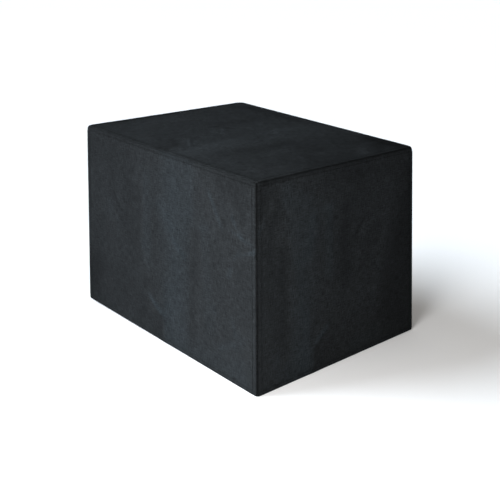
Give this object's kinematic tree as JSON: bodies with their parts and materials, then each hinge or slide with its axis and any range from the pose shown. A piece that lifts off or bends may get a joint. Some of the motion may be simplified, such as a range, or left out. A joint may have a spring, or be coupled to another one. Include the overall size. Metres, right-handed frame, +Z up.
{
  "type": "armchair cover",
  "caption": "Hollow box-shaped cloth cover that drops over an armchair: flat top, side panels joined by topstitched seams, turned-up hem, open underneath.",
  "frame": {"origin": "middle of the cover's outline, at the level of the hem's lowest point", "axes": "+Z up from the hem to the top, +X along the long front panel to its right end, +Y from the front panel to the back panel"},
  "size_m": [1.0214, 0.7762, 0.7071],
  "materials": {
    "cloth": "matt charcoal black woven polyester, coated on the inside"
  },
  "bodies": {
    "root": {"top_panel": "cloth", "front_panel": "cloth", "right_panel": "cloth", "back_panel": "cloth", "left_panel": "cloth"}
  },
  "joints": []
}
